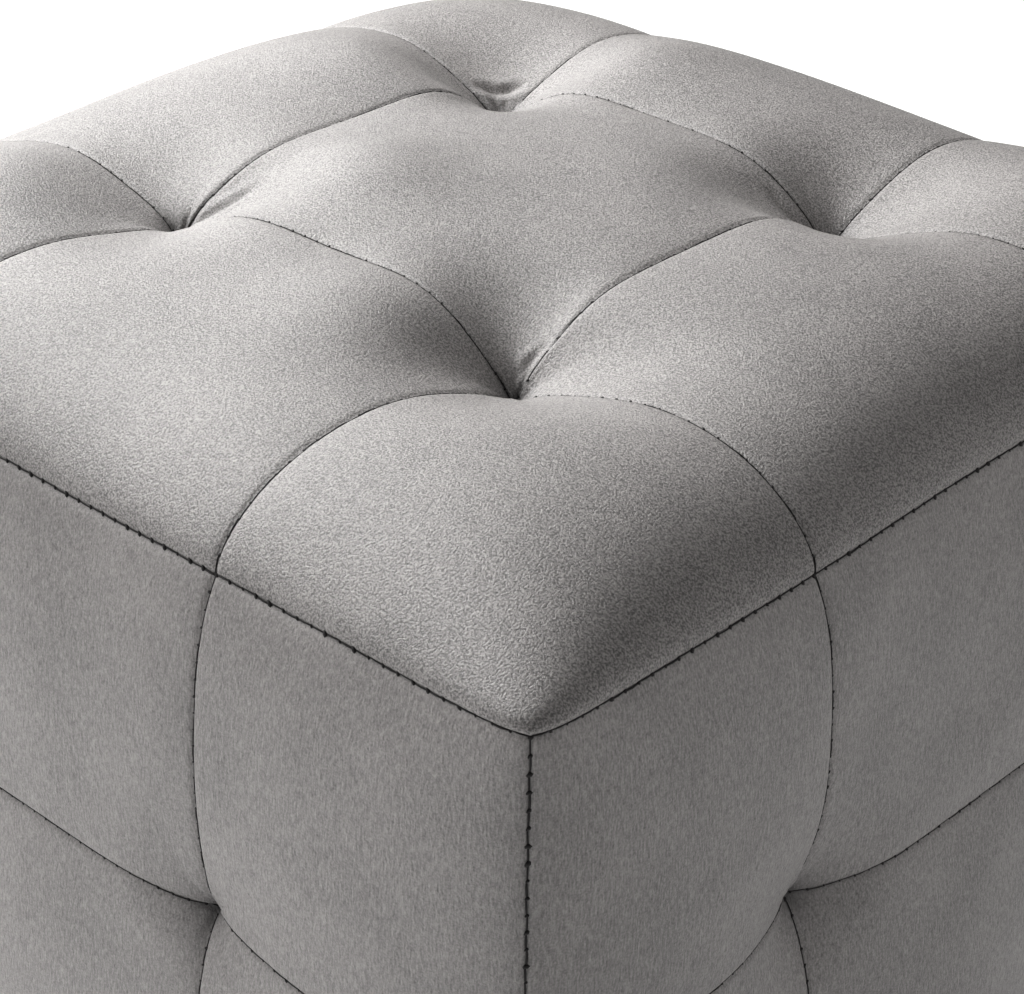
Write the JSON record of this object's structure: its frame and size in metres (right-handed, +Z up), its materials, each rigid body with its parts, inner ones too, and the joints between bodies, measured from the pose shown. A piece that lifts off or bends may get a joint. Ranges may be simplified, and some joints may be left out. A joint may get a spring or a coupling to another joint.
{
  "type": "cube pouf stool",
  "caption": "Cube pouf stool covered in short-pile velvet, with domed square panels, stitched seams, pulled-in tuft points and a flat cloth base.",
  "frame": {"origin": "bottom centre of the stool, on the surface it stands on", "axes": "+Z up through the middle of the top; +X and +Y square to the sides, which are alike; the pictured corner is the one at +X and -Y"},
  "size_m": [0.374, 0.374, 0.3901],
  "materials": {
    "velvet": "grey short-pile velvet with a soft sheen",
    "base_cloth": "plain dark matt base cloth"
  },
  "bodies": {
    "root": {"Pouf_Body": "velvet", "Base_Panel": "base_cloth"}
  },
  "joints": []
}
